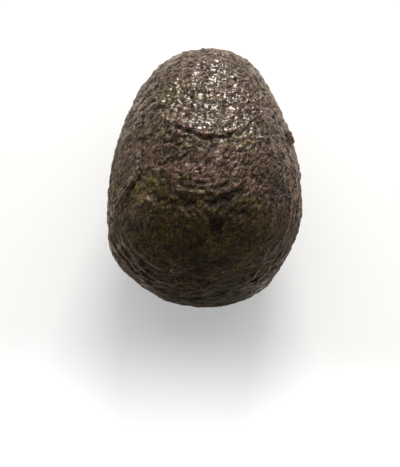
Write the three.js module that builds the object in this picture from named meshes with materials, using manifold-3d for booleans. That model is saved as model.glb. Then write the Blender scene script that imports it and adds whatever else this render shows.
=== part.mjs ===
// A whole avocado, lying on its side with the stem end towards +Y.
// Units are millimetres, +Z is up, and the origin is the middle of the footprint at the resting surface.

import * as THREE from "three";
import { mergeVertices } from "three/addons/utils/BufferGeometryUtils.js";
import Module from "manifold-3d";

const wasm = await Module();
wasm.setup();

// Driving dimensions of the fruit.
const fruitLength = 101;
const fruitWidth = 69.6;
const flattening = 0.97; // height of the cross-section over its width
const taper = 0.224; // how much slimmer the stem half is than the blossom half
const fullness = 0.177; // how blunt both ends are
const sidewaysBow = -1.3; // how far the ends bend to one side
const meshDetail = 14; // subdivisions of the icosahedron that carries the form

// The fruit leans until its centre of mass is over the lowest point, which puts the stem end down.
const leanLimitDegrees = 25;
const seatDepth = 0.45; // how much the resting spot is flattened

// Places where the fruit grew or was packed against something: a direction and a depth.
const pressedFlats = [
  { name: "right shoulder", towards: [0.9, 0.4, 0.17], depth: 0.8 },
  { name: "stem end", towards: [-0.17, 0.89, 0.42], depth: 0.76 },
  { name: "left side", towards: [-1, -0.04, 0], depth: 1.35 },
  { name: "left blossom side", towards: [-0.5, -0.79, -0.36], depth: 1.05 },
  { name: "right blossom side", towards: [0.91, -0.36, -0.19], depth: 1.35 },
  { name: "upper face", towards: [-0.05, -0.62, 0.78], depth: 1.5 },
];
const flatSoftness = 1.9; // rounding of a flat's rim
const flatShare = 0.8; // how much of the skin above a flat's plane is pressed in

// The hollow round the stem, and the stem button that sits in it.
const stemHollow = { depth: 2.2, radius: 8.5 };
const stemOffset = new THREE.Vector3(1.6, 0, 1.2); // the stem stands a little off the long axis
const button = {
  shankRadius: 3.1,
  shankLength: 1.6,
  flangeRadius: 4,
  flangeRise: 0.5, // how far the flange's rim stands above its foot
  flangeHeight: 0.9,
  topRadius: 3.2,
  height: 3.1,
  dishDepth: 0.5,
  segments: 36,
};
const clearance = 0.3;

const skinMaterial = new THREE.MeshStandardMaterial({ color: 0x3a2f28, roughness: 0.5, metalness: 0 });
const stemMaterial = new THREE.MeshStandardMaterial({ color: 0x6b5138, roughness: 0.85, metalness: 0 });

// The radius of the cross-section at t, which runs from -1 at the blossom end to 1 at the stem end.
function profileShape(t) {
  return Math.sqrt(Math.max(0, 1 - t * t)) * Math.exp(-taper * t + fullness * t * t);
}

function widestProfile() {
  let widest = 0;
  for (let t = -1; t <= 1; t += 0.001) widest = Math.max(widest, profileShape(t));
  return widest;
}

const profileScale = fruitWidth / 2 / widestProfile();

// Where a direction from the middle of the fruit meets its skin, with the long axis along Y.
function eggPoint(direction) {
  const t = THREE.MathUtils.clamp(direction.y, -1, 1);
  const around = Math.hypot(direction.x, direction.z) || 1;
  const radius = profileScale * profileShape(t);
  return new THREE.Vector3(
    (radius * direction.x) / around + sidewaysBow * t * t,
    (fruitLength / 2) * t,
    (radius * direction.z * flattening) / around,
  );
}

// The skin sinks towards the stem in a round hollow.
function sinkStem(point) {
  if (point.y < 0) return;
  const aside = Math.hypot(point.x - sidewaysBow - stemOffset.x, point.z - stemOffset.z);
  point.y -= stemHollow.depth * Math.exp(-((aside / stemHollow.radius) ** 2));
}

// Presses every point above a plane back towards it, with a rounded rim.
function pressFlat(points, { towards, depth }) {
  const normal = new THREE.Vector3(...towards).normalize();
  const plane = Math.max(...points.map((p) => p.dot(normal))) - depth;
  for (const point of points) {
    const above = point.dot(normal) - plane;
    const pressed = (above + Math.hypot(above, flatSoftness)) / 2;
    point.addScaledVector(normal, -pressed * flatShare);
  }
}

// The centre of the volume inside a closed triangle mesh.
function centreOfMass(points, index) {
  const centre = new THREE.Vector3();
  const corner = new THREE.Vector3();
  let volume = 0;
  for (let i = 0; i < index.length; i += 3) {
    const [a, b, c] = [0, 1, 2].map((k) => points[index[i + k]]);
    const share = a.dot(corner.crossVectors(b, c)) / 6;
    centre.addScaledVector(a.clone().add(b).add(c), share / 4);
    volume += share;
  }
  return centre.divideScalar(volume);
}

// The turn about X that brings the lowest point of the fruit under its centre of mass.
function restingLean(points, centre) {
  const turned = new THREE.Vector3();
  let low = -THREE.MathUtils.degToRad(leanLimitDegrees);
  let high = -low;
  for (let step = 0; step < 30; step += 1) {
    const lean = (low + high) / 2;
    let lowest = Infinity;
    let ahead = 0;
    for (const point of points) {
      turned.copy(point).sub(centre).applyEuler(new THREE.Euler(lean, 0, 0));
      if (turned.z < lowest) [lowest, ahead] = [turned.z, turned.y];
    }
    if (ahead > 0) low = lean;
    else high = lean;
  }
  return (low + high) / 2;
}

// A closed three.js geometry as a manifold-3d solid.
function solidOf(geometry) {
  const bare = geometry.index ? geometry.toNonIndexed() : geometry.clone();
  bare.deleteAttribute("normal");
  bare.deleteAttribute("uv");
  const merged = mergeVertices(bare, 1e-4);
  return new wasm.Manifold(
    new wasm.Mesh({
      numProp: 3,
      vertProperties: merged.attributes.position.array,
      triVerts: new Uint32Array(merged.index.array),
    }),
  );
}

function geometryOf(solid) {
  const mesh = solid.getMesh();
  const geometry = new THREE.BufferGeometry();
  geometry.setAttribute("position", new THREE.BufferAttribute(mesh.vertProperties, 3));
  geometry.setIndex(new THREE.BufferAttribute(mesh.triVerts, 1));
  geometry.computeVertexNormals();
  return geometry;
}

// The whole form of the fruit: the egg, the flats, the stem hollow and the lean it rests at.
function leaningFruit() {
  const ball = new THREE.IcosahedronGeometry(1, meshDetail);
  ball.deleteAttribute("normal");
  ball.deleteAttribute("uv");
  const geometry = mergeVertices(ball, 1e-5);
  const place = geometry.attributes.position;
  const points = [];
  for (let i = 0; i < place.count; i += 1) {
    points.push(eggPoint(new THREE.Vector3().fromBufferAttribute(place, i).normalize()));
  }
  const index = Array.from(geometry.index.array);
  const lean = restingLean(points, centreOfMass(points, index));
  const turn = new THREE.Euler(lean, 0, 0);
  points.forEach(sinkStem);
  points.forEach((point) => point.applyEuler(turn));
  pressedFlats.forEach((flat) => pressFlat(points, flat));
  points.forEach((point, i) => place.setXYZ(i, point.x, point.y, point.z));
  return { geometry, lean };
}

const { geometry: fruitForm, lean } = leaningFruit();
fruitForm.computeBoundingBox();
const bounds = fruitForm.boundingBox;
const toGround = new THREE.Vector3(0, 0, -bounds.min.z - seatDepth);
fruitForm.translate(...toGround);

// The stem stands along the long axis of the fruit, out of the bottom of its hollow.
const stemDirection = new THREE.Vector3(0, 1, 0).applyEuler(new THREE.Euler(lean, 0, 0));

function skinAlong(start, direction) {
  const ray = new THREE.Raycaster(start, direction);
  const [hit] = ray.intersectObject(new THREE.Mesh(fruitForm, new THREE.MeshBasicMaterial({ side: THREE.DoubleSide })));
  return hit.point;
}

const stemStart = new THREE.Vector3(sidewaysBow + stemOffset.x, 0, stemOffset.z)
  .applyEuler(new THREE.Euler(lean, 0, 0))
  .add(toGround);
const stemFoot = skinAlong(stemStart, stemDirection);

function placeOnStem(object, sunk) {
  object.position.copy(stemFoot).addScaledVector(stemDirection, -sunk);
  object.quaternion.setFromUnitVectors(new THREE.Vector3(0, 1, 0), stemDirection);
  object.updateMatrixWorld(true);
  return object;
}

// The stem button: a shank that stays in the fruit, a flange on the skin and a broken, dished top.
function buttonGeometry() {
  const { shankRadius, shankLength, flangeRadius, flangeRise, flangeHeight, topRadius, height, dishDepth, segments } =
    button;
  const rim = clearance + flangeRise;
  const outline = [
    [0, -shankLength],
    [shankRadius - 0.3, -shankLength],
    [shankRadius, -shankLength + 0.3],
    [shankRadius, clearance],
    [flangeRadius - 0.2, rim],
    [flangeRadius, rim + flangeHeight / 2],
    [flangeRadius - 0.3, rim + flangeHeight],
    [topRadius, rim + flangeHeight + 0.3],
    [topRadius + 0.15, height - 0.35],
    [topRadius - 0.25, height],
    [topRadius * 0.55, height - dishDepth * 0.6],
    [0, height - dishDepth],
  ].map(([x, y]) => new THREE.Vector2(x, y));
  return new THREE.LatheGeometry(outline, segments);
}

// The round socket that the shank leaves in the fruit, with the clearance all round it.
function socketSolid() {
  const { shankRadius, shankLength, segments } = button;
  const reach = 4;
  const drum = new THREE.CylinderGeometry(
    shankRadius + clearance,
    shankRadius + clearance,
    shankLength + clearance + reach,
    segments,
  );
  drum.translate(0, (reach - shankLength - clearance) / 2, 0);
  const placed = placeOnStem(new THREE.Object3D(), 0);
  return solidOf(drum.applyMatrix4(placed.matrixWorld));
}

// Everything under the resting surface, which leaves the small flat that the fruit rests on.
function belowGround() {
  const slab = new THREE.BoxGeometry(2 * fruitLength, 2 * fruitLength, fruitLength);
  return solidOf(slab.translate(0, 0, -fruitLength / 2));
}

function makeFruit() {
  const solid = solidOf(fruitForm).subtract(belowGround()).subtract(socketSolid());
  const fruit = new THREE.Mesh(geometryOf(solid), skinMaterial);
  fruit.name = "fruit";
  return fruit;
}

function makeStemButton() {
  const stemButton = new THREE.Mesh(buttonGeometry(), stemMaterial);
  stemButton.name = "stem_button";
  return placeOnStem(stemButton, 0);
}

const avocado = new THREE.Group();
avocado.add(makeFruit(), makeStemButton());

// The origin is the middle of the footprint of the fruit and its stem button together.
const footprint = new THREE.Box3().setFromObject(avocado).getCenter(new THREE.Vector3());
avocado.position.set(-footprint.x, -footprint.y, 0);

export default avocado;
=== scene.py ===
# A ripe avocado lying on its side, with its pebbled skin and dry stem button, on a pale floor.
import math

import bpy
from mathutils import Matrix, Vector
from mathutils.bvhtree import BVHTree


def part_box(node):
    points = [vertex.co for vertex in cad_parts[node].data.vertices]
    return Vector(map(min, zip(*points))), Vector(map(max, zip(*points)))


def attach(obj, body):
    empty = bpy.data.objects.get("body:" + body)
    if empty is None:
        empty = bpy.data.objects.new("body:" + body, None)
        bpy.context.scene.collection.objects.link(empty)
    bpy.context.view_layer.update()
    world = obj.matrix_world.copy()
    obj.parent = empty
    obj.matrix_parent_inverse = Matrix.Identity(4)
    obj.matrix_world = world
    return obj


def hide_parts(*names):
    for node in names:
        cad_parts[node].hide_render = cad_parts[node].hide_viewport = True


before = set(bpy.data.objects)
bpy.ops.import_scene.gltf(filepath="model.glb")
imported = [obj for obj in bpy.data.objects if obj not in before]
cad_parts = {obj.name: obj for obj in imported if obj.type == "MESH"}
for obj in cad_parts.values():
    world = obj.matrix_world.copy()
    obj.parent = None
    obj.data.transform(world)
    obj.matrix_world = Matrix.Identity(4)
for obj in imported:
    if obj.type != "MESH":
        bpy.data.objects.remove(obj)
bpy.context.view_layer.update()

mm = 0.001
axisHeight = 30.0  # millimetres from the floor to the fruit's long axis
print("avocado: the frame is loaded")


# Small helpers for building node trees. A value is a number, a socket or a node.

def feed(tree, socket, value):
    # a socket or a node is linked, anything else becomes the socket's own value
    if isinstance(value, bpy.types.NodeSocket):
        tree.links.new(value, socket)
    elif isinstance(value, bpy.types.Node):
        tree.links.new(value.outputs[0], socket)
    elif value is not None:
        socket.default_value = value


def addNode(tree, kind, inputs=None, **settings):
    node = tree.nodes.new(kind)
    column, row = divmod(len(tree.nodes) - 1, 6)
    node.location = (230 * column, -200 * row)
    for name, value in settings.items():
        setattr(node, name, value)
    for socket, value in (inputs or {}).items():
        feed(tree, node.inputs[socket], value)
    return node


def calc(tree, operation, *values):
    node = addNode(tree, "ShaderNodeMath", operation=operation)
    for socket, value in zip(node.inputs, values):
        feed(tree, socket, value)
    return node.outputs[0]


def total(tree, *values):
    result = values[0]
    for value in values[1:]:
        result = calc(tree, "ADD", result, value)
    return result


def product(tree, *values):
    result = values[0]
    for value in values[1:]:
        result = calc(tree, "MULTIPLY", result, value)
    return result


def higher(tree, first, second):
    return calc(tree, "MAXIMUM", first, second)


def inverse(tree, value):
    return calc(tree, "SUBTRACT", 1.0, value)


def fromHalf(tree, wave):
    # how far a wave is from its middle value
    return calc(tree, "ABSOLUTE", calc(tree, "SUBTRACT", wave, 0.5))


def vectorCalc(tree, operation, *values):
    node = addNode(tree, "ShaderNodeVectorMath", operation=operation)
    for socket, value in zip(node.inputs, values):
        feed(tree, socket, value)
    return node.outputs["Value" if operation in ("LENGTH", "DOT_PRODUCT", "DISTANCE") else "Vector"]


def scaled(tree, vector, factor):
    node = addNode(tree, "ShaderNodeVectorMath", {"Vector": vector, "Scale": factor}, operation="SCALE")
    return node.outputs["Vector"]


def centred(tree, colour):
    # a noise colour as a direction that points any way
    return vectorCalc(tree, "SUBTRACT", colour, (0.5, 0.5, 0.5))


def splitUp(tree, vector):
    return addNode(tree, "ShaderNodeSeparateXYZ", {"Vector": vector}).outputs


def fade(tree, value, low, high, toLow=0.0, toHigh=1.0):
    # a smooth step from toLow at low to toHigh at high
    node = addNode(tree, "ShaderNodeMapRange", {"Value": value, "From Min": low, "From Max": high,
                   "To Min": toLow, "To Max": toHigh}, interpolation_type="SMOOTHSTEP")
    return node.outputs["Result"]


def blend(tree, mask, outside, inside):
    # one value where a mask is 0 and another where it is 1
    return fade(tree, mask, 0.0, 1.0, outside, inside)


def bell(tree, value, width=1.0):
    # 1 at zero, falling to nearly 0 at twice the width
    share = calc(tree, "DIVIDE", value, width)
    return calc(tree, "EXPONENT", product(tree, share, share, -1.0))


def mixValue(tree, factor, first, second):
    node = addNode(tree, "ShaderNodeMix", {"Factor": factor}, data_type="FLOAT")
    feed(tree, node.inputs[2], first)
    feed(tree, node.inputs[3], second)
    return node.outputs[0]


def mixColour(tree, factor, first, second):
    node = addNode(tree, "ShaderNodeMix", data_type="RGBA")
    feed(tree, node.inputs["Factor"], factor)
    feed(tree, node.inputs[6], first)
    feed(tree, node.inputs[7], second)
    return node.outputs[2]


def perSize(tree, size):
    # a texture's scale for a pattern whose size in millimetres is a number or a socket
    if isinstance(size, bpy.types.NodeSocket):
        return calc(tree, "DIVIDE", 1.0, size)
    return 1 / size


def noiseAt(tree, vector, size, detail=2.0, roughness=0.5):
    return addNode(tree, "ShaderNodeTexNoise", {"Vector": vector, "Scale": perSize(tree, size),
                   "Detail": detail, "Roughness": roughness}).outputs


def cellsAt(tree, vector, size, feature="F1", randomness=1.0, **more):
    return addNode(tree, "ShaderNodeTexVoronoi", {"Vector": vector, "Scale": perSize(tree, size),
                   "Randomness": randomness, **more}, feature=feature).outputs


def lengthwise(tree, place, stretch):
    # coordinates that run from the stem to the blossom end, so that a pattern is drawn out along the fruit
    axes = splitUp(tree, place)
    fromAxis = calc(tree, "SUBTRACT", axes["Z"], axisHeight)
    spoke = addNode(tree, "ShaderNodeCombineXYZ", {"X": axes["X"], "Z": fromAxis})
    ring = scaled(tree, vectorCalc(tree, "NORMALIZE", spoke), axisHeight)
    along = addNode(tree, "ShaderNodeCombineXYZ", {"Y": product(tree, axes["Y"], stretch)})
    return vectorCalc(tree, "ADD", ring, along)


def sockets(kind, *names):
    return [(name, "NodeSocket" + kind, None) for name in names]


def newTree(name, kind, inputs, outputs):
    tree = bpy.data.node_groups.new(name, kind)
    for direction, listed in (("INPUT", inputs), ("OUTPUT", outputs)):
        for socketName, socketKind, value in listed:
            socket = tree.interface.new_socket(socketName, in_out=direction, socket_type=socketKind)
            if value is not None:
                socket.default_value = value
    return tree, addNode(tree, "NodeGroupInput").outputs


def finishTree(tree, **results):
    output = addNode(tree, "NodeGroupOutput")
    for name, value in results.items():
        feed(tree, output.inputs[name], value)


def placeGroup(tree, group, inputs):
    kind = "GeometryNodeGroup" if tree.bl_idname == "GeometryNodeTree" else "ShaderNodeGroup"
    return addNode(tree, kind, inputs, node_tree=group)


def castBall(tree, given, shape, reach):
    # a cube of even squares is blown up to a ball, and the ball is cast onto the shape and smoothed
    grid = given["Grid"]
    cube = addNode(tree, "GeometryNodeMeshCube", {"Vertices X": grid, "Vertices Y": grid, "Vertices Z": grid})
    position = addNode(tree, "GeometryNodeInputPosition")
    evened = vectorCalc(tree, "TANGENT", scaled(tree, position, math.pi / 2))
    outward = vectorCalc(tree, "NORMALIZE", evened)
    target = addNode(tree, "GeometryNodeObjectInfo", {"Object": given[shape]}, transform_space="RELATIVE")
    cast = addNode(tree, "GeometryNodeRaycast", {"Target Geometry": target.outputs["Geometry"],
                   "Source Position": given["Middle"], "Ray Direction": outward, "Ray Length": reach})
    hit = cast.outputs["Hit Position"]
    laid = addNode(tree, "GeometryNodeSetPosition", {"Geometry": cube, "Position": hit})
    blurred = addNode(tree, "GeometryNodeBlurAttribute", {"Iterations": given["Smoothing"]},
                      data_type="FLOAT_VECTOR")
    feed(tree, blurred.inputs["Value"], position)
    return addNode(tree, "GeometryNodeSetPosition", {"Geometry": laid, "Position": blurred}), position


def liftAlongNormal(tree, geometry, height, stored):
    # keeps the values that the material reads, then moves every point by its height in millimetres
    for name, value in stored.items():
        geometry = addNode(tree, "GeometryNodeStoreNamedAttribute", {"Geometry": geometry, "Name": name,
                           "Value": value}, data_type="FLOAT", domain="POINT")
    lift = scaled(tree, addNode(tree, "GeometryNodeInputNormal"), product(tree, height, mm))
    return addNode(tree, "GeometryNodeSetPosition", {"Geometry": geometry, "Offset": lift})


def closePiece(tree, geometry, material):
    geometry = addNode(tree, "GeometryNodeSetShadeSmooth", {"Geometry": geometry})
    geometry = addNode(tree, "GeometryNodeRealizeInstances", {"Geometry": geometry})
    geometry = addNode(tree, "GeometryNodeSetMaterial", {"Geometry": geometry, "Material": material})
    finishTree(tree, Geometry=geometry)


def meshFromNodes(name, tree, values):
    # runs the tree on an empty mesh and keeps the result as a plain mesh object
    holder = bpy.data.objects.new(name + "Holder", bpy.data.meshes.new(name + "Holder"))
    bpy.context.scene.collection.objects.link(holder)
    modifier = holder.modifiers.new("nodes", "NODES")
    modifier.node_group = tree
    for item in tree.interface.items_tree:
        if item.item_type == "SOCKET" and item.in_out == "INPUT" and item.name in values:
            modifier[item.identifier] = values[item.name]
    depsgraph = bpy.context.evaluated_depsgraph_get()
    mesh = bpy.data.meshes.new_from_object(holder.evaluated_get(depsgraph), preserve_all_data_layers=True,
                                           depsgraph=depsgraph)
    bpy.data.objects.remove(holder)
    mesh.name = name
    piece = bpy.data.objects.new(name, mesh)
    bpy.context.scene.collection.objects.link(piece)
    return piece


# The camera looks down at the blossom end.

cameraValues = {
    "azimuth": 2.45,      # degrees, turned round from straight in front of the blossom end
    "elevation": 67.5,    # degrees above the floor
    "distance": 0.589,    # metres from the aim
    "lens": 130.0,
    "aim": (-0.0013, -0.0261, 0.034),  # in front of the fruit, which sits above the middle of the frame
}


def turned(azimuth, elevation):
    # the direction of something seen from the fruit: azimuth 0 is in front of the blossom end
    a, e = math.radians(azimuth), math.radians(elevation)
    return Vector((math.sin(a) * math.cos(e), -math.cos(a) * math.cos(e), math.sin(e)))


def makeCamera(values):
    data = bpy.data.cameras.new("camera")
    data.lens = values["lens"]
    data.sensor_width = 36.0
    data.sensor_fit = "AUTO"
    camera = bpy.data.objects.new("camera", data)
    bpy.context.scene.collection.objects.link(camera)
    back = turned(values["azimuth"], values["elevation"])
    camera.location = Vector(values["aim"]) + back * values["distance"]
    camera.rotation_euler = back.to_track_quat("Z", "Y").to_euler()
    bpy.context.scene.camera = camera


makeCamera(cameraValues)


# Folds and creases of the skin are lines that lie on the fruit. Each has points in millimetres, which are
# dropped onto the fruit. A fold may be steeper on one side: "up" is how far it reaches to the left of its
# direction and "down" how far to the right.
raisedFolds = {
    "browLedge": {"points": [(-14, 4, 61), (-10.5, 1.5, 63), (-5.3, -1.2, 65), (-1, -3.4, 66),
                             (4.5, -3, 65.5), (7.5, -1.6, 64.7), (11.2, 1.2, 62.7)],
                  "height": 0.95, "up": 2.4, "down": 0.5},
    "browArc": {"points": [(10, 0.6, 63.2), (14, 3, 61), (17.5, 2.4, 59.5), (19.6, -0.7, 58.8)],
                "height": 0.5, "up": 1.3, "down": 0.5},
    "knob": {"points": [(-11, -1.8, 64), (-8, -3, 65.2)], "height": 1.3, "up": 2.4, "down": 1.0},
    "bellyEdge": {"points": [(-11, -23.4, 66), (-6.2, -25.2, 67), (0.4, -25.5, 67.4), (6, -24.4, 67),
                             (10.3, -22.2, 66), (12.4, -18.4, 65.4)],
                  "height": 0.85, "up": 1.4, "down": 0.5},
    "bellyWaveA": {"points": [(-9, -21, 66.4), (-4.6, -22.8, 67.2), (0.6, -23, 67.6), (5.4, -21.6, 67.2),
                              (8.6, -19.4, 66.4)], "height": 0.7, "up": 0.55, "down": 0.45},
    "bellyWaveB": {"points": [(-12, -18.4, 65.6), (-7, -20, 66.8), (-1.6, -20.8, 67.6), (3.4, -20, 67.4)],
                   "height": 0.7, "up": 0.55, "down": 0.45},
    "bellyWaveC": {"points": [(-14.6, -15.6, 64.6), (-9.6, -17.6, 66.4), (-4, -18.2, 67.2),
                              (0, -17.4, 67.6)], "height": 0.45, "up": 0.55, "down": 0.45},
    "bellyHatchA": {"points": [(-8.4, -30.4, 65.6), (-5, -33, 65), (-3.4, -35.4, 64)],
                    "height": 0.75, "up": 0.5, "down": 0.5},
    "bellyHatchB": {"points": [(-5.4, -30.6, 65.8), (-2.4, -33.4, 65), (-0.6, -36, 63.8)],
                    "height": 0.75, "up": 0.5, "down": 0.5},
    "bellyHatchC": {"points": [(-2.6, -30.6, 66), (0.2, -33.4, 65), (1.8, -35.6, 64)],
                    "height": 0.75, "up": 0.5, "down": 0.5},
    "rimA": {"points": [(-9, -49.8, 37), (-3.6, -50.6, 38.4), (1.5, -50.4, 39.6)],
             "height": 0.7, "up": 0.7, "down": 0.7},
    "rimB": {"points": [(1, -50.6, 34.6), (5.6, -50.2, 35.6), (9.6, -49.4, 37.4)],
             "height": 0.8, "up": 0.8, "down": 0.7},
    "leftShoulder": {"points": [(-31.8, -30.4, 44), (-31.6, -33, 42.4), (-30.6, -35.6, 41)],
                     "height": 1.0, "up": 2.4, "down": 2.4},
    "leftLumpA": {"points": [(-21.9, -26.9, 60), (-21, -26.9, 60.6)],
                  "height": 0.8, "up": 1.2, "down": 1.2},
    "leftLumpB": {"points": [(-18.8, -26.5, 62.2), (-17.8, -26.5, 62.8)],
                  "height": 0.8, "up": 1.2, "down": 1.2},
    "leftLumpC": {"points": [(-18.6, -14.2, 62.8), (-15.8, -17.1, 64.5)],
                  "height": 0.7, "up": 1.0, "down": 1.0},
}
wartPlace = (28.3, 7.2, 44.8)
# Long folds run smooth and thin.
longFolds = {
    "wart": {"points": [(27.4, 9.8, 45.2), wartPlace, (29.2, 4, 44.3)],
             "height": 1.75, "up": 1.8, "down": 1.8},
    "leftRidge": {"points": [(-23.7, -6, 57.6), (-23.1, -9.6, 58.9), (-22.8, -13.3, 59.7),
                             (-24.7, -17.6, 58.5), (-27.6, -21.5, 55.2), (-29.7, -23.9, 52),
                             (-31.2, -25.8, 48.4)], "height": 1.0, "up": 0.75, "down": 0.9},
    "leftRidgeTwin": {"points": [(-25.1, -15.9, 57.9), (-28.1, -19.8, 54.7), (-30.1, -22.2, 51.5),
                                 (-31.3, -25.1, 48.6)], "height": 0.7, "up": 0.7, "down": 0.7},
    "lowLeftA": {"points": [(-27.7, -34.6, 49.7), (-25.1, -38.5, 49.5), (-22.3, -42.3, 47.5),
                            (-18.8, -45.5, 44.8), (-14, -47.9, 43), (-8.5, -49.1, 43)],
                 "height": 0.8, "up": 0.7, "down": 0.8},
    "lowLeftB": {"points": [(-25.2, -36.7, 51.5), (-20.9, -41.6, 50.5), (-17.4, -44.2, 49.3),
                            (-12.9, -46.5, 48.1)], "height": 0.6, "up": 0.7, "down": 0.7},
    "lowLeftC": {"points": [(-29.2, -34.9, 46.5), (-25.9, -40.2, 45.5), (-22, -44.2, 43.2),
                            (-17.5, -47.2, 40.8), (-12.3, -49.1, 38.9)],
                 "height": 0.8, "up": 0.7, "down": 0.7},
    "lowLeftD": {"points": [(-30.4, -35.4, 42.2), (-27.4, -40, 42), (-22.8, -44.5, 40), (-16.8, -47.9, 37),
                            (-10.6, -49.9, 35.2), (-3.7, -50.6, 36.1)],
                 "height": 0.8, "up": 0.7, "down": 0.8},
    "rimC": {"points": [(-4.4, -50.3, 39), (-1.3, -50.1, 40.7), (1.4, -49.6, 42.6), (4.8, -48.9, 44),
                        (8.2, -48.9, 41.5)], "height": 0.6, "up": 0.7, "down": 0.7},
    "lowRightA": {"points": [(13.5, -48, 38), (16.5, -46.6, 39.6), (20.6, -44, 41), (23.2, -41, 43)],
                  "height": 0.8, "up": 0.7, "down": 0.7},
    "lowRightB": {"points": [(13, -47.6, 41), (16.5, -45.8, 43), (19.8, -43.6, 44.4)],
                  "height": 0.6, "up": 0.7, "down": 0.7},
    "rightRidgeA": {"points": [(28.2, 2.4, 48), (30.1, -5, 47.6), (31.3, -12.2, 46.9), (31.8, -19.2, 45.8),
                               (31.7, -25.7, 43.3)], "height": 0.6, "up": 0.7, "down": 0.7},
    "rightRidgeB": {"points": [(26.3, -1.7, 52.5), (28.2, -8.9, 51.8), (29.4, -16, 50.9), (29.6, -23, 49.8),
                               (29.2, -29.4, 47.6)], "height": 0.5, "up": 0.7, "down": 0.7},
}
sunkFolds = {
    "underBrow": {"points": [(-12.4, 2.6, 62), (-9.6, -0.2, 63.6), (-5.3, -2.5, 65), (-0.6, -4.7, 66),
                             (3, -4.6, 65.8)], "height": 0.75, "up": 0.4, "down": 0.5},
    "browPit": {"points": [(-12, 2.2, 62.4), (-10.2, 1, 63.2)], "height": 0.5, "up": 0.7, "down": 0.7},
    "underArc": {"points": [(13, 1.2, 61.6), (16.4, 1, 60.2), (18.2, -1.2, 59.4)],
                 "height": 0.4, "up": 0.5, "down": 0.5},
    "aroundKnob": {"points": [(-17, -2, 61.4), (-14, -5.2, 63.6), (-12, -5.4, 64.4), (-10.2, -7.4, 65.4),
                              (-7.6, -6.2, 65.8)], "height": 0.55, "up": 0.45, "down": 0.45},
    "leftDiagonal": {"points": [(-6, -9.6, 66.7), (-8.5, -12.4, 66.6), (-12, -13.6, 65.6),
                                (-16, -14.8, 64.2)], "height": 0.8, "up": 0.6, "down": 0.6},
    "underBelly": {"points": [(-10, -26.6, 66), (-5, -28.4, 66.6), (0.6, -28.8, 67), (6, -27.6, 66.6),
                              (11, -25, 65.6)], "height": 0.6, "up": 1.6, "down": 2.0},
    "besideRidge": {"points": [(-21.6, -11, 60.4), (-22.4, -17.4, 60), (-25.4, -22, 57.4),
                               (-27.4, -25.4, 55), (-29, -28.4, 51)],
                    "height": 0.7, "up": 1.0, "down": 1.2},
    "leftNotch": {"points": [(-31.6, -27, 47), (-32.6, -28.8, 42)], "height": 1.1, "up": 1.5, "down": 1.5},
    "rimUnder": {"points": [(-14, -49.2, 34), (-8, -50.4, 33.6), (-1, -50.8, 34), (4, -50.6, 32.6)],
                 "height": 0.7, "up": 0.8, "down": 0.8},
    "behindWart": {"points": [(26.6, 7.8, 47.4), (27.8, 4.6, 47.4), (28.4, 1.6, 47)],
                   "height": 0.5, "up": 0.8, "down": 0.8},
}
# Patches where the skin is still green: "up" and "down" are their half-widths.
greenPatches = {
    "besideRidge": {"points": [(-22, -15, 60.5), (-24.5, -22.4, 58), (-28, -26.4, 53.4)],
                    "height": 1.0, "up": 3.5, "down": 2.5},
    "leftBelly": {"points": [(-19, -19, 62.6), (-15.4, -24, 64.6)], "height": 0.9, "up": 3.0, "down": 3.0},
    "underBelly": {"points": [(-6, -27.6, 66.6), (2, -28.6, 66.8)], "height": 0.9, "up": 2.2, "down": 2.6},
    "rightBelly": {"points": [(15, -22.6, 64), (19.6, -28, 60.6)], "height": 0.8, "up": 3.0, "down": 3.0},
    "browRight": {"points": [(12.6, -1, 62.6), (14.6, -5.6, 62.8)], "height": 0.9, "up": 4.2, "down": 4.2},
    "topLeft": {"points": [(-12, 20, 55.6), (-14, 14, 57.6), (-15, 6, 59)],
                "height": 0.9, "up": 4.5, "down": 4.5},
    "topMiddle": {"points": [(-5, 20, 58.8), (0, 15, 60.8)], "height": 0.7, "up": 4.0, "down": 4.0},
    "leftLimb": {"points": [(-28, -12.2, 54.2), (-28.4, -14, 53.6)], "height": 0.9, "up": 1.6, "down": 1.6},
    "leftLumps": {"points": [(-21.9, -26.9, 60), (-17.8, -26.5, 62.8)],
                  "height": 1.0, "up": 1.8, "down": 1.8},
}
foldStep = 0.35  # millimetres between the points of a fold's line


def fruitSurface():
    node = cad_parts["fruit"].data
    return BVHTree.FromPolygons([v.co for v in node.vertices], [p.vertices for p in node.polygons])


def smoothPath(points, step):
    # a smooth curve through the points, at even steps
    path = []
    ends = [points[0] * 2 - points[1]] + points + [points[-1] * 2 - points[-2]]
    for a, b, c, d in zip(ends, ends[1:], ends[2:], ends[3:]):
        count = max(1, round((c - b).length / step))
        for k in range(count):
            t = k / count
            path.append(0.5 * ((2 * b) + (c - a) * t + (2 * a - 5 * b + 4 * c - d) * t ** 2
                               + (3 * b - a - 3 * c + d) * t ** 3))
    return path + [points[-1]]


def foldLines(name, folds, surface):
    # one mesh of points with the height, reach and uphill direction that the skin's nodes read
    places, heights, ups, downs, sides = [], [], [], [], []
    for fold in folds.values():
        path = smoothPath([Vector(p) * mm for p in fold["points"]], foldStep * mm)
        laid = [surface.find_nearest(p)[:2] for p in path]
        for k, (place, normal) in enumerate(laid):
            along = laid[min(k + 1, len(laid) - 1)][0] - laid[max(k - 1, 0)][0]
            taper = 1.35 * math.sin(math.pi * (k + 1) / (len(laid) + 1)) ** 0.7
            places.append(place)
            heights.append(fold["height"] * min(1.0, taper))
            ups.append(fold["up"])
            downs.append(fold["down"])
            sides.append(normal.cross(along).normalized())
    mesh = bpy.data.meshes.new(name)
    mesh.from_pydata(places, [], [])
    for attribute, values in (("height", heights), ("up", ups), ("down", downs)):
        mesh.attributes.new(attribute, "FLOAT", "POINT").data.foreach_set("value", values)
    flat = [component for side in sides for component in side]
    mesh.attributes.new("side", "FLOAT_VECTOR", "POINT").data.foreach_set("vector", flat)
    lines = bpy.data.objects.new(name, mesh)
    bpy.context.scene.collection.objects.link(lines)
    return lines


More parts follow.
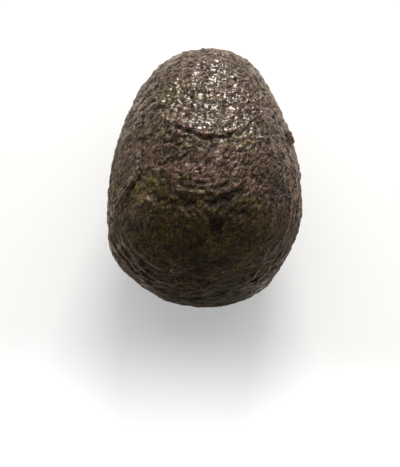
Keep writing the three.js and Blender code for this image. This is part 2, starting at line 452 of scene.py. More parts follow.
def makeFoldRelief():
    # how high the nearest fold lifts or sinks a point of the skin, and how close that fold is
    tree, given = newTree(
        "foldRelief", "GeometryNodeTree",
        sockets("Geometry", "Lines") + sockets("Vector", "Wobble") + sockets("Float", "Strength"),
        sockets("Float", "Height", "Closeness"))
    here = vectorCalc(tree, "ADD", addNode(tree, "GeometryNodeInputPosition"), given["Wobble"])
    nearest = addNode(tree, "GeometryNodeSampleNearest", {"Geometry": given["Lines"],
                      "Sample Position": here}, domain="POINT")

    def sampled(kind, value):
        node = addNode(tree, "GeometryNodeSampleIndex", {"Geometry": given["Lines"], "Index": nearest},
                       data_type=kind, domain="POINT")
        feed(tree, node.inputs["Value"], value)
        return node.outputs["Value"]

    def onLine(kind, name):
        node = addNode(tree, "GeometryNodeInputNamedAttribute", {"Name": name}, data_type=kind)
        return sampled(kind, node.outputs["Attribute"])

    linePlace = sampled("FLOAT_VECTOR", addNode(tree, "GeometryNodeInputPosition"))
    offset = vectorCalc(tree, "SUBTRACT", here, linePlace)
    away = calc(tree, "MULTIPLY", vectorCalc(tree, "LENGTH", offset), 1 / mm)
    ofSide = vectorCalc(tree, "DOT_PRODUCT", offset, onLine("FLOAT_VECTOR", "side"))
    uphill = calc(tree, "GREATER_THAN", ofSide, 0.0)
    reach = mixValue(tree, uphill, onLine("FLOAT", "down"), onLine("FLOAT", "up"))
    closeness = product(tree, bell(tree, away, reach), given["Strength"])
    finishTree(tree, Height=product(tree, closeness, onLine("FLOAT", "height")), Closeness=closeness)
    return tree


# The skin.

skinValues = {
    "Grid": 129,              # points along each edge of the cube that becomes the skin
    "Smoothing": 40,          # passes that blend the flat faces of the form
    "Pebble size": 2.2,       # millimetres, as are the rest
    "Pebble height": 0.68,
    "Grain size": 1.15,
    "Grain height": 0.06,
    "Pit depth": 0.45,
    "Lump height": 0.55,
    "Wrinkle height": 0.35,
    "Contour height": 0.6,
    "Streak height": 0.20,
    "Swell height": 1.2,      # broad unevenness
    "Inset": 0.55,            # how far the skin starts under the form, so that pebbles end near it
    "Seed": 3.0,
}
fruitMiddle = (0.0, -0.004, 0.032)  # metres
# Sizes of the noises and cells that the relief is made from, in millimetres.
reliefSizes = {
    "drift": 7.0,      # bends every pattern
    "jitter": 2.2,
    "patch": 14.0,     # shifts where the skin turns finer
    "pit": 2.9,
    "lump": 2.0,
    "wrinkle": 1.9,
    "shrunk": 16.0,
    "contour": 2.3,
    "streak": 1.4,
    "swell": 5.5,
    "pucker": 1.6,     # folds of the collar round the stem
}

# Where each kind of skin begins and where it is complete, in millimetres: "across" is along X from the
# middle, "ahead" along Y, which runs towards the stem, and "up" along Z.
skinRegions = {
    "coarse": (-30.0, -19.0),       # full pebbles on the stem half, finer ones on the blossom half
    "stemHalf": (-26.0, 10.0),
    "bellyUp": (54.0, 61.0),        # the top of the blossom half
    "bellyAhead": (3.0, -6.0),
    "lowSideUp": (55.0, 44.0),      # long wrinkles, low on the sides
    "lowSideAhead": (22.0, -6.0),
    "rimUp": (14.0, 32.0),
    "rimAhead": (10.0, -25.0),
    "limbAcross": (21.0, 27.0),     # the streaked sides of the stem half
    "limbAhead": (18.0, 6.0),
    "limbUp": (28.0, 38.0),
    "tautAhead": (-24.0, -34.0),    # fewer lumps at the blossom end
    "streakUp": (47.0, 56.0),
    "stemCalm": (9.0, 4.0),         # from the stem's axis
    "rightward": (-14.0, 14.0),
    # painted shade darkens this front under the belly
    "underAhead": (-40.0, -49.0),   # the shaded front under the belly
    "underAcross": (20.0, 10.0),
    "flankAcross": (-15.0, -22.0),  # the paler left flank
    "flankBack": (2.0, -10.0),
    "flankAhead": (-38.0, -28.0),
    "wart": (4.0, 2.4),             # from the wart's middle
}


def makeSkinTree(material, sizes, regions):
    tree, given = newTree(
        "avocadoSkin", "GeometryNodeTree",
        sockets("Object", "Fruit", "Raised folds", "Sunk folds", "Long folds", "Green patches")
        + sockets("Vector", "Stem place", "Stem direction", "Middle") + sockets("Int", "Grid", "Smoothing")
        + sockets("Float", "Pebble size", "Pebble height", "Grain size", "Grain height", "Pit depth",
                  "Lump height", "Wrinkle height", "Contour height", "Streak height", "Swell height",
                  "Inset", "Seed"),
        sockets("Geometry", "Geometry"))
    skin, position = castBall(tree, given, "Fruit", 0.2)

    # places in millimetres, shifted by the seed and warped a little so that no pattern runs straight
    place = scaled(tree, position, 1 / mm)
    axes = splitUp(tree, place)
    shifted = vectorCalc(tree, "ADD", place, scaled(tree, (11.0, 5.0, 7.0), given["Seed"]))
    drift = centred(tree, noiseAt(tree, shifted, sizes["drift"])["Color"])
    warped = vectorCalc(tree, "ADD", shifted, scaled(tree, drift, 3.0))
    jitter = centred(tree, noiseAt(tree, shifted, sizes["jitter"], 1.0)["Color"])

    def region(value, name, outside=0.0, inside=1.0):
        return fade(tree, value, *regions[name], outside, inside)

    # where the skin is coarse (the stem half) and where it is finer and smoother (the blossom half)
    patch = noiseAt(tree, shifted, sizes["patch"])[0]
    leftward = product(tree, calc(tree, "MINIMUM", axes["X"], 0.0), 0.45)
    alongFruit = total(tree, axes["Y"], leftward, product(tree, calc(tree, "SUBTRACT", patch, 0.5), 16.0))
    coarse = region(alongFruit, "coarse", 0.3)
    stemHalf = region(alongFruit, "stemHalf")
    belly = product(tree, region(axes["Z"], "bellyUp"), region(axes["Y"], "bellyAhead"))
    bellyCalm = blend(tree, belly, 1.0, 0.5)

    # pebbles: domes of uneven height, each with a soft rim
    cells = cellsAt(tree, warped, given["Pebble size"], randomness=0.85)
    cellTint = splitUp(tree, cells["Color"])["X"]
    dome = inverse(tree, calc(tree, "POWER", calc(tree, "DIVIDE", cells["Distance"], 0.66), 2.0))
    border = cellsAt(tree, warped, given["Pebble size"], "DISTANCE_TO_EDGE", 0.85)["Distance"]
    rise = total(tree, product(tree, higher(tree, dome, 0.0), 0.6), fade(tree, border, 0.0, 0.16, 0.0, 0.4))
    pebble = product(tree, rise, blend(tree, cellTint, 0.4, 1.0))
    pits = cellsAt(tree, vectorCalc(tree, "ADD", warped, (3.3, 8.1, 1.7)), sizes["pit"])
    pitDepth = fade(tree, splitUp(tree, pits["Color"])["X"], 0.3, 0.6)
    pit = product(tree, bell(tree, pits["Distance"], 0.17), pitDepth)
    lumps = noiseAt(tree, warped, sizes["lump"])[0]
    lump = product(tree, calc(tree, "SUBTRACT", lumps, 0.5), 2.0)
    grains = cellsAt(tree, warped, given["Grain size"], "SMOOTH_F1", Smoothness=0.25)
    grain = calc(tree, "SUBTRACT", 0.6, grains["Distance"])

    def ridges(wave, sharpness):
        return higher(tree, inverse(tree, product(tree, fromHalf(tree, wave), sharpness)), 0.0)

    def squeezed(vector, *factors):
        return vectorCalc(tree, "MULTIPLY", vector, factors)

    # fine wrinkles that run across the fruit, strongest where the skin has shrunk
    wrinkleWave = noiseAt(tree, squeezed(warped, 0.35, 1.0, 1.0), sizes["wrinkle"], 1.0)[0]
    wrinkle = ridges(wrinkleWave, 5.0)
    shrunk = fade(tree, noiseAt(tree, warped, sizes["shrunk"])[0], 0.4, 0.6)

    # long wrinkles from end to end, deep low on the sides and faint on top of the blossom half
    lowSide = product(tree, region(axes["Z"], "lowSideUp"), region(axes["Y"], "lowSideAhead", 0.25))
    rim = product(tree, region(axes["Z"], "rimUp", 0.3), region(axes["Y"], "rimAhead", 0.4))
    limb = product(tree, region(calc(tree, "ABSOLUTE", axes["X"]), "limbAcross"),
                   region(axes["Y"], "limbAhead"), region(axes["Z"], "limbUp"))
    uneven = fade(tree, patch, 0.35, 0.6, 0.2, 1.0)
    contourWave = noiseAt(tree, squeezed(warped, 0.2, 0.2, 1.0), sizes["contour"], 1.0)[0]
    contour = product(tree, ridges(contourWave, 8.0), lowSide, uneven, rim)
    shrunkSide = inverse(tree, higher(tree, product(tree, lowSide, rim, 0.75), product(tree, limb, 0.75)))
    taut = product(tree, shrunkSide, region(axes["Y"], "tautAhead", 1.0, 0.35))
    drawnOut = vectorCalc(tree, "ADD", lengthwise(tree, place, 0.2), scaled(tree, drift, 4.0))
    streaked = higher(tree, region(axes["Z"], "streakUp"), product(tree, limb, 1.5))
    streak = product(tree, ridges(noiseAt(tree, drawnOut, sizes["streak"], 1.0)[0], 6.0), streaked)
    swell = calc(tree, "SUBTRACT", noiseAt(tree, shifted, sizes["swell"], 1.0)[0], 0.5)

    # the skin draws in round the stem
    fromStem = vectorCalc(tree, "SUBTRACT", position, given["Stem place"])
    across = vectorCalc(tree, "CROSS_PRODUCT", fromStem, given["Stem direction"])
    beside = calc(tree, "MULTIPLY", vectorCalc(tree, "LENGTH", across), 1 / mm)
    ahead = vectorCalc(tree, "DOT_PRODUCT", fromStem, given["Stem direction"])
    atStem = calc(tree, "GREATER_THAN", ahead, -12 * mm)
    around = scaled(tree, vectorCalc(tree, "NORMALIZE", across), 6.0)
    puckered = vectorCalc(tree, "ADD", around, scaled(tree, place, 0.15))
    pucker = noiseAt(tree, puckered, sizes["pucker"], 1.0)[0]
    collar = product(tree, atStem, bell(tree, calc(tree, "SUBTRACT", beside, 5.4), 1.4),
                     fade(tree, pucker, 0.35, 0.62, 0.35, 1.3))
    calm = inverse(tree, product(tree, atStem, region(beside, "stemCalm")))

    foldRelief = makeFoldRelief()
    worn = fade(tree, lumps, 0.35, 0.6, 0.55, 1.1)

    def folds(name, spread, strength, unevenness=1.1):
        lines = addNode(tree, "GeometryNodeObjectInfo", {"Object": given[name]}).outputs["Geometry"]
        far = scaled(tree, drift, spread * mm)
        near = scaled(tree, jitter, unevenness * mm)
        wobble = vectorCalc(tree, "ADD", far, near)
        inputs = {"Lines": lines, "Wobble": wobble, "Strength": strength}
        return placeGroup(tree, foldRelief, inputs).outputs

    raised = folds("Raised folds", 1.2, worn)
    sunk = folds("Sunk folds", 1.2, worn)
    long = folds("Long folds", 0.8, 1.0, 0.2)
    green = folds("Green patches", 6.0, 1.0)

    height = total(
        tree,
        product(tree, pebble, coarse, calm, shrunkSide, bellyCalm, given["Pebble height"]),
        product(tree, grain, calm, given["Grain height"]),
        product(tree, pit, coarse, calm, shrunkSide, given["Pit depth"], -1.0),
        product(tree, lump, calm, taut, given["Lump height"]),
        product(tree, pebble, green["Height"], 0.9),
        product(tree, wrinkle, shrunk, calm, given["Wrinkle height"]),
        product(tree, contour, calm, given["Contour height"]),
        product(tree, streak, given["Streak height"]),
        product(tree, swell, given["Swell height"]),
        product(tree, collar, 0.7),
        raised["Height"],
        long["Height"],
        product(tree, sunk["Height"], -1.0),
        product(tree, given["Inset"], -1.0))
    skin = liftAlongNormal(tree, skin, height, {
        "pebble": pebble, "raised": raised["Closeness"], "ridge": long["Closeness"], "belly": belly,
        "limb": limb, "coarse": coarse, "stemHalf": stemHalf, "contour": contour, "side": lowSide,
        "green": green["Height"], "relief": height})

    # nothing reaches under the surface that the fruit rests on
    ended = splitUp(tree, position)
    above = addNode(tree, "ShaderNodeCombineXYZ", {"X": ended["X"], "Y": ended["Y"],
                    "Z": higher(tree, ended["Z"], 0.02 * mm)})
    skin = addNode(tree, "GeometryNodeSetPosition", {"Geometry": skin, "Position": above})
    closePiece(tree, skin, material)
    return tree


# Materials.

def newMaterial(name):
    material = bpy.data.materials.new(name)
    material.use_nodes = True
    tree = material.node_tree
    tree.nodes.clear()
    surface = addNode(tree, "ShaderNodeBsdfPrincipled")
    addNode(tree, "ShaderNodeOutputMaterial", {"Surface": surface})
    return material, tree, surface


def storedValue(tree, name):
    return addNode(tree, "ShaderNodeAttribute", attribute_name=name).outputs["Fac"]


def placeInMm(tree):
    return scaled(tree, addNode(tree, "ShaderNodeTexCoord").outputs["Object"], 1 / mm)


def addBump(tree, surface, height):
    bump = addNode(tree, "ShaderNodeBump", {"Height": height, "Strength": 1.0, "Distance": 1.0})
    feed(tree, surface.inputs["Normal"], bump)


def makeMottle():
    # uneven patches of a given size in millimetres, from 0 to 1, shared by the skin and the stem
    usual = {"Size": 1.0, "Detail": 2.0, "Roughness": 0.5, "Low": 0.0, "High": 1.0}
    numbers = [(name, "NodeSocketFloat", value) for name, value in usual.items()]
    tree, given = newTree("mottle", "ShaderNodeTree", sockets("Vector", "Place") + numbers,
                          sockets("Float", "Amount"))
    cloud = noiseAt(tree, given["Place"], given["Size"], given["Detail"], given["Roughness"])[0]
    finishTree(tree, Amount=fade(tree, cloud, given["Low"], given["High"]))
    return tree


mottle = makeMottle()

skinColours = {
    "dark": (0.024, 0.014, 0.009, 1),
    "brown": (0.094, 0.055, 0.036, 1),
    "mauve": (0.102, 0.058, 0.058, 1),
    "pimple": (0.23, 0.13, 0.09, 1),
    "olive": (0.064, 0.060, 0.009, 1),
    "leaf": (0.070, 0.076, 0.020, 1),
    "moss": (0.12, 0.098, 0.020, 1),
    "ochre": (0.20, 0.140, 0.018, 1),
    "rust": (0.15, 0.062, 0.013, 1),
    # painted highlights: rim is laid on the crests of the raised folds, ridge on the long ridges and, as
    # painted sheen, on the sides between the thin lines
    "rim": (0.19, 0.09, 0.07, 1),
    "wart": (0.060, 0.020, 0.007, 1),
    "ridge": (0.185, 0.135, 0.11, 1),
    # painted shade: this near black is laid in hollows, creases, lines, low places, under the belly and on
    # the smooth half; it also makes the dark flecks
    "shadeAndFleck": (0.005, 0.003, 0.002, 1),
    "speck": (0.42, 0.31, 0.20, 1),
}
# Each patchwork of colour: its size in millimetres, the noise where it begins and where it is full,
# and then, if they aren't the usual ones, the noise's detail and roughness.
skinPatches = {
    "brown": (6.0, 0.40, 0.60, 5.0, 0.65),
    "mauve": (9.0, 0.42, 0.58),
    "leaf": (3.5, 0.48, 0.60, 4.0),
    "moss": (4.0, 0.46, 0.60, 5.0, 0.7),
    "green": (1.6, 0.38, 0.52),
    "ochre": (2.6, 0.40, 0.54),
    "rust": (1.0, 0.58, 0.64),
    "darkFleck": (0.7, 0.50, 0.60, 1.0),
    "mossyHole": (8.0, 0.4, 0.55),
}
# Sizes of the finer noises and cells, in millimetres.
paintSizes = {
    "crease": 2.5,
    "bend": 1.1,
    "spot": 1.9,       # the small cells that are hollows and pimples
    "line": 1.3,
    "thread": 0.9,
    "speck": 4.2,      # between the pale specks
    "dull": 1.4,
    "shine": 5.0,
    "dust": 0.5,
}
# How much of each colour is laid on where it is strongest. The amounts for under the belly, the hollows, the
# low places, the creases and the lines are painted shade, the smooth half's amount is partly painted shade,
# and rim and ridge give painted highlights.
skinStrengths = {
    "smoothDark": 0.62,
    "undersideShade": 0.85,
    "flank": 0.4,
    "thread": 0.55,
    "rim": 0.7,
    "ridge": 0.6,
    "wart": 0.85,
    "hole": 0.95,
    "low": 0.9,
    "crease": 0.85,
    "line": 0.8,
}
slant = (0.55, 0.83, 0.0)  # the way that the fine creases run


def makeSkinMaterial(colours, shapes, sizes, strengths, regions):
    material, tree, surface = newMaterial("avocadoSkin")
    place = placeInMm(tree)
    axes = splitUp(tree, place)

    def stored(name):
        return storedValue(tree, name)

    def cloud(name, detail=2.0):
        return noiseAt(tree, place, sizes[name], detail)[0]

    def patches(name):
        names = ("Size", "Low", "High", "Detail", "Roughness")
        shape = dict(zip(names, shapes[name]))
        return placeGroup(tree, mottle, {"Place": place, **shape}).outputs["Amount"]

    def region(value, name):
        return fade(tree, value, *regions[name])

    def whereSmooth(coarseAmount, smoothAmount):
        return blend(tree, smooth, coarseAmount, smoothAmount)

    def paint(tone, mask, colour):
        return mixColour(tree, mask, tone, colour)

    coarse = stored("coarse")
    smooth = fade(tree, coarse, 0.75, 0.4)
    rightward = region(axes["X"], "rightward")
    # fine creases, drawn out along a slanting direction
    along = vectorCalc(tree, "DOT_PRODUCT", place, slant)
    slanted = vectorCalc(tree, "SUBTRACT", place, scaled(tree, slant, product(tree, along, 0.6)))
    fold = fromHalf(tree, noiseAt(tree, slanted, sizes["crease"], 1.5)[0])
    crease = product(tree, fade(tree, fold, 0.05, 0.015), whereSmooth(1.0, 0.5))

    # small uneven cells: most are hollow, the rest stand up as pimples
    bent = scaled(tree, centred(tree, noiseAt(tree, place, sizes["bend"], 1.0)["Color"]), 2.2)
    leaning = vectorCalc(tree, "SUBTRACT", place, scaled(tree, slant, product(tree, along, 0.3)))
    spots = cellsAt(tree, vectorCalc(tree, "ADD", leaning, bent), sizes["spot"])
    kinds = addNode(tree, "ShaderNodeSeparateColor", {"Color": spots["Color"]}).outputs
    hollowed = product(tree, fade(tree, kinds[1], 0.38, 0.48), whereSmooth(1.0, 0.3))
    hole = product(tree, hollowed, fade(tree, spots["Distance"], 0.34, 0.16))
    pimple = product(tree, inverse(tree, hollowed), fade(tree, spots["Distance"], 0.42, 0.15))
    pimpleRise = product(tree, bell(tree, spots["Distance"], 0.33), 0.42)
    rimRise = product(tree, bell(tree, calc(tree, "SUBTRACT", spots["Distance"], 0.42), 0.15), 0.36)
    grain = mixValue(tree, hollowed, pimpleRise, rimRise)

    # thin lines that run round the fruit, low on its sides
    flattened = vectorCalc(tree, "MULTIPLY", place, (0.2, 0.2, 1.0))
    lineAway = fromHalf(tree, noiseAt(tree, flattened, sizes["line"], 1.5)[0])
    lined = higher(tree, fade(tree, stored("side"), 0.2, 0.8), product(tree, smooth, 0.3))
    lined = higher(tree, lined, product(tree, stored("limb"), 0.9))

    # the ground colour, darker where the skin is smooth: partly its own darker tone and partly painted shade
    # on the blossom half, which faces away from the light; and painted shade under the belly
    tone = mixColour(tree, patches("brown"), colours["dark"], colours["brown"])
    tone = paint(tone, product(tree, smooth, strengths["smoothDark"]), colours["shadeAndFleck"])
    # painted shade: the front under the belly is laid near black
    underside = product(tree, region(axes["Y"], "underAhead"),
                        region(calc(tree, "ABSOLUTE", axes["X"]), "underAcross"))
    tone = paint(tone, product(tree, underside, strengths["undersideShade"]), colours["shadeAndFleck"])
    mauve = product(tree, patches("mauve"), whereSmooth(1.0, 0.1), blend(tree, rightward, 0.6, 1.0))
    tone = paint(tone, mauve, colours["mauve"])
    flank = product(tree, region(axes["X"], "flankAcross"), region(axes["Y"], "flankBack"),
                    region(axes["Y"], "flankAhead"))
    tone = paint(tone, product(tree, flank, strengths["flank"]), colours["ridge"])

    # greens and rust
    leafy = product(tree, patches("leaf"), blend(tree, rightward, 0.5, 0.2), whereSmooth(1.0, 0.3))
    tone = paint(tone, leafy, colours["leaf"])
    placed = product(tree, stored("green"), blend(tree, patches("green"), 0.2, 1.0))
    green = higher(tree, placed, product(tree, patches("moss"), whereSmooth(0.2, 0.65)))
    limy = product(tree, stored("green"), fade(tree, stored("pebble"), 0.2, 0.5), patches("ochre"))
    tone = paint(tone, green, mixColour(tree, limy, colours["olive"], colours["ochre"]))
    tone = paint(tone, product(tree, patches("rust"), whereSmooth(0.2, 0.65)), colours["rust"])
    endways = vectorCalc(tree, "MULTIPLY", place, (1.0, 0.3, 0.5))
    threads = fade(tree, noiseAt(tree, endways, sizes["thread"])[0], 0.55, 0.66)
    tone = paint(tone, product(tree, threads, smooth, strengths["thread"]), colours["moss"])

    # painted highlights along the crests of the folds and ridges, painted sheen on the sides between the thin
    # lines, the wart and dark flecks
    tone = paint(tone, fade(tree, stored("raised"), 0.6, 1.0, 0.0, strengths["rim"]), colours["rim"])
    tone = paint(tone, fade(tree, stored("ridge"), 0.45, 0.95, 0.0, strengths["ridge"]), colours["ridge"])
    # painted sheen: the sides are laid paler between the thin lines
    sideSheen = product(tree, fade(tree, lineAway, 0.08, 0.2), lined, blend(tree, underside, 0.4, 0.05))
    tone = paint(tone, sideSheen, colours["ridge"])
    wart = region(vectorCalc(tree, "DISTANCE", place, wartPlace), "wart")
    tone = paint(tone, product(tree, wart, strengths["wart"]), colours["wart"])
    flecks = product(tree, patches("darkFleck"), whereSmooth(0.35, 0.6))
    tone = paint(tone, flecks, colours["shadeAndFleck"])
    tone = paint(tone, product(tree, pimple, whereSmooth(0.45, 0.12)), colours["pimple"])

    # painted shade in the hollows, olive in some of them, and pale specks
    mossyHole = product(tree, fade(tree, kinds[2], 0.6, 0.7), patches("mossyHole"))
    hole = product(tree, hole, fade(tree, stored("stemHalf"), 0.1, 0.8, 0.5, 1.0))
    holeColour = mixColour(tree, mossyHole, colours["shadeAndFleck"], colours["olive"])
    tone = paint(tone, product(tree, hole, strengths["hole"]), holeColour)
    # painted shade: low places, fine creases and the grooves of the thin side lines are laid near black
    low = product(tree, fade(tree, stored("relief"), -0.1, -0.7), strengths["low"])
    hollowShade = higher(tree, low, product(tree, crease, strengths["crease"]))
    lineGrooveShade = product(tree, fade(tree, lineAway, 0.045, 0.01), lined, strengths["line"])
    hollowShade = higher(tree, hollowShade, lineGrooveShade)
    tone = paint(tone, hollowShade, colours["shadeAndFleck"])
    hollowShade = higher(tree, hollowShade, hole)
    dots = cellsAt(tree, place, sizes["speck"])
    dotKind = addNode(tree, "ShaderNodeSeparateColor", {"Color": dots["Color"]}).outputs[0]
    speck = product(tree, fade(tree, dots["Distance"], 0.09, 0.06), fade(tree, dotKind, 0.5, 0.55))
    feed(tree, surface.inputs["Base Color"], paint(tone, speck, colours["speck"]))

    # a waxy coat, strong on the stem half and on crests, and absent in hollows
    feed(tree, surface.inputs["Roughness"], fade(tree, cloud("dull"), 0.3, 0.7, 0.35, 0.55))
    surface.inputs["Specular IOR Level"].default_value = 0.22
    surface.inputs["Specular Tint"].default_value = (1.0, 0.90, 0.78, 1)
    gloss = product(tree, coarse, blend(tree, stored("stemHalf"), 0.30, 1.0),
                    fade(tree, cloud("shine"), 0.3, 0.7, 0.5, 1.0))
    gloss = product(tree, gloss, blend(tree, stored("belly"), 1.0, 0.6))
    gloss = total(tree, fade(tree, gloss, 0.05, 0.85, 0.04, 1.0), product(tree, stored("green"), 0.15))
    crest = fade(tree, higher(tree, stored("raised"), stored("ridge")), 0.6, 0.9)
    crest = higher(tree, fade(tree, stored("contour"), 0.2, 0.7), crest)
    gloss = higher(tree, gloss, product(tree, crest, 0.9))
    gloss = product(tree, gloss, blend(tree, underside, 1.0, 0.15))
    gloss = product(tree, gloss, inverse(tree, product(tree, hollowShade, 0.95)))
    feed(tree, surface.inputs["Coat Weight"], gloss)
    surface.inputs["Coat Roughness"].default_value = 0.14

    # the finest relief, in millimetres
    knobbly = fade(tree, stored("stemHalf"), 0.1, 0.8, 0.45, 0.95)
    fine = total(tree, product(tree, grain, knobbly), product(tree, fold, 1.6),
                 product(tree, fade(tree, fold, 0.0, 0.09), 0.25), product(tree, cloud("dust", 1.0), 0.10),
                 product(tree, hole, -0.28))
    fine = product(tree, fine, whereSmooth(1.0, 0.5), fade(tree, stored("side"), 0.2, 0.8, 1.0, 0.5))
    fine = calc(tree, "SUBTRACT", fine, product(tree, lineAway, lined, 2.0))
    addBump(tree, surface, product(tree, fine, mm))
    return material


fruitTree = fruitSurface()
raisedLines = foldLines("raisedLines", raisedFolds, fruitTree)
sunkLines = foldLines("sunkLines", sunkFolds, fruitTree)
longLines = foldLines("longLines", longFolds, fruitTree)
greenLines = foldLines("greenLines", greenPatches, fruitTree)
stemLow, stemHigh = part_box("stem_button")
stemPlace = (stemLow + stemHigh) / 2
stemTilt = math.radians(8)
stemDirection = Vector((0.0, math.cos(stemTilt), -math.sin(stemTilt)))

skinMaterial = makeSkinMaterial(skinColours, skinPatches, paintSizes, skinStrengths, skinRegions)
skinSetup = dict(skinValues)
skinSetup.update({"Fruit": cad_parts["fruit"], "Raised folds": raisedLines, "Sunk folds": sunkLines,
                  "Long folds": longLines, "Green patches": greenLines,
                  "Stem place": stemPlace, "Stem direction": stemDirection, "Middle": fruitMiddle})
skin = meshFromNodes("skin", makeSkinTree(skinMaterial, reliefSizes, skinRegions), skinSetup)
for lines in (raisedLines, sunkLines, longLines, greenLines):
    bpy.data.objects.remove(lines)
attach(skin, "root")
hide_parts("fruit")
print(f"avocado: the skin has {len(skin.data.polygons)} faces")


# The stem button: dry, fibrous wood, dished on top.

stemValues = {
    "Grid": 57,
    "Smoothing": 2,
    "Fibre height": 0.22,     # millimetres, as are the next three
    "Rim wave": 0.35,
    "Crack depth": 0.40,
    "Inset": 0.18,
    "Seed": 5.0,
}
stemColours = {
    "wood": (0.150, 0.090, 0.045, 1),
    "pale": (0.34, 0.25, 0.15, 1),
    "crack": (0.018, 0.010, 0.006, 1),
}


def makeStemTree(material):
    tree, given = newTree(
        "avocadoStem", "GeometryNodeTree",
        sockets("Object", "Button") + sockets("Vector", "Middle", "Direction")
        + sockets("Int", "Grid", "Smoothing")
        + sockets("Float", "Fibre height", "Rim wave", "Crack depth", "Inset", "Seed"),
        sockets("Geometry", "Geometry"))
    stem, position = castBall(tree, given, "Button", 0.02)

    # height along the stem, distance from its axis and direction round it
    offset = scaled(tree, vectorCalc(tree, "SUBTRACT", position, given["Middle"]), 1 / mm)
    height = vectorCalc(tree, "DOT_PRODUCT", offset, given["Direction"])
    flat = vectorCalc(tree, "SUBTRACT", offset, scaled(tree, given["Direction"], height))
    away = vectorCalc(tree, "LENGTH", flat)
    spoke = scaled(tree, vectorCalc(tree, "NORMALIZE", flat), 3.4)
    seeded = scaled(tree, (3.0, 7.0, 5.0), given["Seed"])
    top = fade(tree, height, 1.2, 2.0)

    def unevenness(vector, size, detail=2.0):
        moved = vectorCalc(tree, "ADD", vector, seeded)
        return noiseAt(tree, moved, size, detail)[0]

    along = scaled(tree, given["Direction"], product(tree, height, 0.35))
    inward = scaled(tree, flat, 0.25)
    grained = vectorCalc(tree, "ADD", vectorCalc(tree, "ADD", spoke, along), inward)
    fibre = calc(tree, "SUBTRACT", unevenness(grained, 0.75), 0.5)
    wave = calc(tree, "SUBTRACT", unevenness(spoke, 2.6, 1.0), 0.5)
    # a few cracks run in from the rim of the top
    crackLine = fromHalf(tree, unevenness(vectorCalc(tree, "ADD", spoke, inward), 1.5, 1.0))
    onTop = product(tree, top, fade(tree, away, 0.2, 1.2, 0.2, 1.0))
    crack = product(tree, fade(tree, crackLine, 0.05, 0.0), onTop)
    ring = product(tree, bell(tree, calc(tree, "SUBTRACT", away, 1.9), 0.3), top)
    lift = total(
        tree,
        product(tree, fibre, 2.0, given["Fibre height"]),
        product(tree, wave, given["Rim wave"], fade(tree, away, 1.5, 3.0)),
        product(tree, crack, given["Crack depth"], -1.0),
        product(tree, ring, -0.15),
        product(tree, given["Inset"], -1.0))
    stem = liftAlongNormal(tree, stem, lift, {"crack": crack, "away": away, "top": top, "fibre": fibre})
    closePiece(tree, stem, material)
    return tree


def makeStemMaterial(colours):
    material, tree, surface = newMaterial("dryStem")
    place = placeInMm(tree)
    stains = placeGroup(tree, mottle, {"Place": place, "Size": 1.6, "Detail": 4.0, "Low": 0.4, "High": 0.62})
    tone = mixColour(tree, stains.outputs["Amount"], colours["wood"], colours["pale"])
    betweenFibres = fade(tree, storedValue(tree, "fibre"), 0.02, -0.15, 0.0, 0.8)
    tone = mixColour(tree, betweenFibres, tone, colours["crack"])
    inDish = fade(tree, storedValue(tree, "away"), 1.9, 0.9, 0.0, 0.7)
    middle = product(tree, storedValue(tree, "top"), inDish)
    tone = mixColour(tree, higher(tree, storedValue(tree, "crack"), middle), tone, colours["crack"])
    feed(tree, surface.inputs["Base Color"], tone)
    surface.inputs["Roughness"].default_value = 0.85
    surface.inputs["Specular IOR Level"].default_value = 0.2
    grain = placeGroup(tree, mottle, {"Place": place, "Size": 0.3, "Detail": 3.0, "Low": 0.2, "High": 0.8})
    addBump(tree, surface, product(tree, grain.outputs["Amount"], 0.12 * mm))
    return material


stemMaterial = makeStemMaterial(stemColours)
stemSetup = dict(stemValues)
stemSetup.update({"Button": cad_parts["stem_button"], "Middle": stemPlace, "Direction": stemDirection})
stem = meshFromNodes("stem", makeStemTree(stemMaterial), stemSetup)
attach(stem, "root")
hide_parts("stem_button")
print(f"avocado: the stem button has {len(stem.data.polygons)} faces")


# The floor glows a little from below, as on a light table. Distances are in metres.

floorValues = {
    "size": 4.0,
    "colour": (0.70, 0.64, 0.59, 1),        # what the fruit mirrors
    "seenColour": (0.465, 0.50, 0.54, 1),   # what the camera sees, evened out against the warm light
    "glow": 0.15,
    "nearGlow": 0.25,                       # extra for the camera, beside the fruit
    "farGlow": 0.58,                        # and in front of it
    "glowRise": (-0.05, -0.095),            # from beside the fruit to in front of it
    "horizonGlow": 0.9,                     # so that the floor meets the backdrop without an edge
    "horizon": (0.25, 0.9),
}


def makeFloor(values):
    half = values["size"] / 2
    mesh = bpy.data.meshes.new("floor")
    corners = [(-half, -half, 0), (half, -half, 0), (half, half, 0), (-half, half, 0)]
    mesh.from_pydata(corners, [], [(0, 1, 2, 3)])
    floor = bpy.data.objects.new("floor", mesh)
    bpy.context.scene.collection.objects.link(floor)
    material, tree, surface = newMaterial("paleFloor")
    seen = addNode(tree, "ShaderNodeLightPath").outputs["Is Camera Ray"]
    feed(tree, surface.inputs["Base Color"], mixColour(tree, seen, values["colour"], values["seenColour"]))
    surface.inputs["Roughness"].default_value = 0.9
    surface.inputs["Specular IOR Level"].default_value = 0.0
    surface.inputs["Emission Color"].default_value = (1, 1, 1, 1)
    place = addNode(tree, "ShaderNodeTexCoord").outputs["Object"]
    ahead = splitUp(tree, place)["Y"]
    # painted light: the camera alone sees this extra glow, brighter in front of the fruit and far off than
    # beside it, so the cast shadow looks shorter
    seenGlow = fade(tree, ahead, *values["glowRise"], values["nearGlow"], values["farGlow"])
    farOff = vectorCalc(tree, "LENGTH", place)
    seenGlow = total(tree, seenGlow, fade(tree, farOff, *values["horizon"], 0.0, values["horizonGlow"]))
    glow = total(tree, product(tree, seen, seenGlow), values["glow"])
    feed(tree, surface.inputs["Emission Strength"], glow)
    mesh.materials.append(material)
    return floor


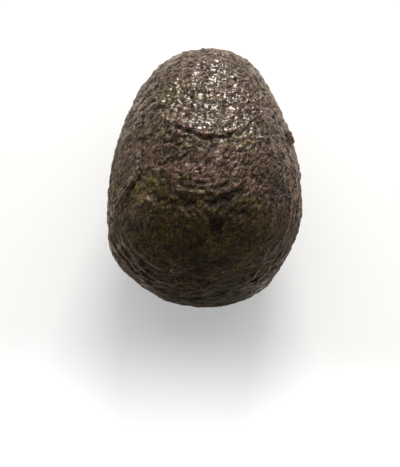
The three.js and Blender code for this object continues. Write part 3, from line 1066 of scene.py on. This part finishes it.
makeFloor(floorValues)

lightValues = {
    "backSoft": {"azimuth": 174, "elevation": 30, "distance": 1.1, "size": (0.46, 0.40), "watts": 15.5,
                 "colour": (1.0, 0.91, 0.80)},
    "overhead": {"azimuth": 176, "elevation": 72, "distance": 1.2, "size": (1.9, 0.9), "watts": 11.0,
                 "colour": (1.0, 0.93, 0.84)},
}


def addSoftbox(name, values):
    data = bpy.data.lights.new(name, "AREA")
    data.shape = "RECTANGLE"
    data.size, data.size_y = values["size"]
    data.energy = values["watts"]
    data.color = values["colour"]
    light = bpy.data.objects.new(name, data)
    bpy.context.scene.collection.objects.link(light)
    direction = turned(values["azimuth"], values["elevation"])
    light.location = direction * values["distance"]
    light.rotation_euler = direction.to_track_quat("Z", "Y").to_euler()


for lightName, values in lightValues.items():
    addSoftbox(lightName, values)


# A pale dome that is dark in front of the fruit, and plain white to the camera.

worldValues = {
    "bright": 0.25,
    "front": 0.06,
    "turn": (0.05, 0.65),  # how far towards the front the dome begins to darken, and is darkest
    "colour": (1.0, 0.94, 0.88, 1),
    "seen": (1.0, 1.0, 1.0, 1),
}


def makeWorld(values):
    world = bpy.data.worlds.new("studio")
    bpy.context.scene.world = world
    world.use_nodes = True
    tree = world.node_tree
    tree.nodes.clear()
    towards = addNode(tree, "ShaderNodeTexCoord").outputs["Generated"]
    ahead = vectorCalc(tree, "DOT_PRODUCT", towards, (0.0, -1.0, 0.0))
    strength = fade(tree, ahead, *values["turn"], values["bright"], values["front"])
    lit = addNode(tree, "ShaderNodeBackground", {"Color": values["colour"], "Strength": strength})
    seen = addNode(tree, "ShaderNodeBackground", {"Color": values["seen"], "Strength": 1.0})
    path = addNode(tree, "ShaderNodeLightPath")
    mixed = addNode(tree, "ShaderNodeMixShader", {0: path.outputs["Is Camera Ray"], 1: lit, 2: seen})
    addNode(tree, "ShaderNodeOutputWorld", {"Surface": mixed})


makeWorld(worldValues)
bpy.context.scene.view_settings.view_transform = "Standard"
print("avocado: floor, lights and camera are in place")
